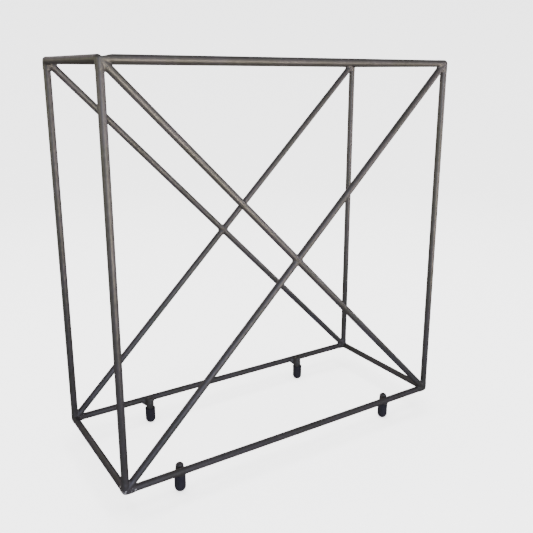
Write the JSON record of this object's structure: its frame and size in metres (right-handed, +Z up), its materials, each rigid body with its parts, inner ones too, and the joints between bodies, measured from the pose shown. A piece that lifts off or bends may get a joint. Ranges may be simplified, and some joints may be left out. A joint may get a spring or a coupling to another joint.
{
  "type": "countertop wine rack",
  "caption": "Free-standing rack of welded round steel rod: front and back faces crossed by diagonals, so bottles lie in triangular bays, on short rubber-capped feet.",
  "frame": {"origin": "on the counter, under the middle of the rack", "axes": "+Z up, +Y from the front face to the back face, +X to the right as seen from the front"},
  "size_m": [0.428, 0.1826, 0.4565],
  "materials": {
    "gunmetal_steel": "satin gunmetal lacquer over welded steel rod",
    "black_rubber": "matt black rubber"
  },
  "bodies": {
    "root": {"front_left_upright": "gunmetal_steel", "front_right_upright": "gunmetal_steel", "front_top_rail": "gunmetal_steel", "front_bottom_rail": "gunmetal_steel", "front_long_diagonal": "gunmetal_steel", "front_half_diagonal_lower": "gunmetal_steel", "front_half_diagonal_upper": "gunmetal_steel", "back_left_upright": "gunmetal_steel", "back_right_upright": "gunmetal_steel", "back_top_rail": "gunmetal_steel", "back_bottom_rail": "gunmetal_steel", "back_long_diagonal": "gunmetal_steel", "back_half_diagonal_lower": "gunmetal_steel", "back_half_diagonal_upper": "gunmetal_steel", "top_left_side_rail": "gunmetal_steel", "top_right_side_rail": "gunmetal_steel", "bottom_left_side_rail": "gunmetal_steel", "bottom_right_side_rail": "gunmetal_steel", "front_left_foot_stem": "gunmetal_steel", "front_right_foot_stem": "gunmetal_steel", "back_left_foot_stem": "gunmetal_steel", "back_right_foot_stem": "gunmetal_steel", "front_left_foot_cap": "black_rubber", "front_right_foot_cap": "black_rubber", "back_left_foot_cap": "black_rubber", "back_right_foot_cap": "black_rubber", "front_weld_top_left": "gunmetal_steel", "front_weld_top_right": "gunmetal_steel", "front_weld_bottom_left": "gunmetal_steel", "front_weld_bottom_right": "gunmetal_steel", "front_weld_cross_lower": "gunmetal_steel", "front_weld_cross_upper": "gunmetal_steel", "front_left_foot_weld": "gunmetal_steel", "front_right_foot_weld": "gunmetal_steel", "back_weld_top_left": "gunmetal_steel", "back_weld_top_right": "gunmetal_steel", "back_weld_bottom_left": "gunmetal_steel", "back_weld_bottom_right": "gunmetal_steel", "back_weld_cross_lower": "gunmetal_steel", "back_weld_cross_upper": "gunmetal_steel", "back_left_foot_weld": "gunmetal_steel", "back_right_foot_weld": "gunmetal_steel"}
  },
  "joints": []
}
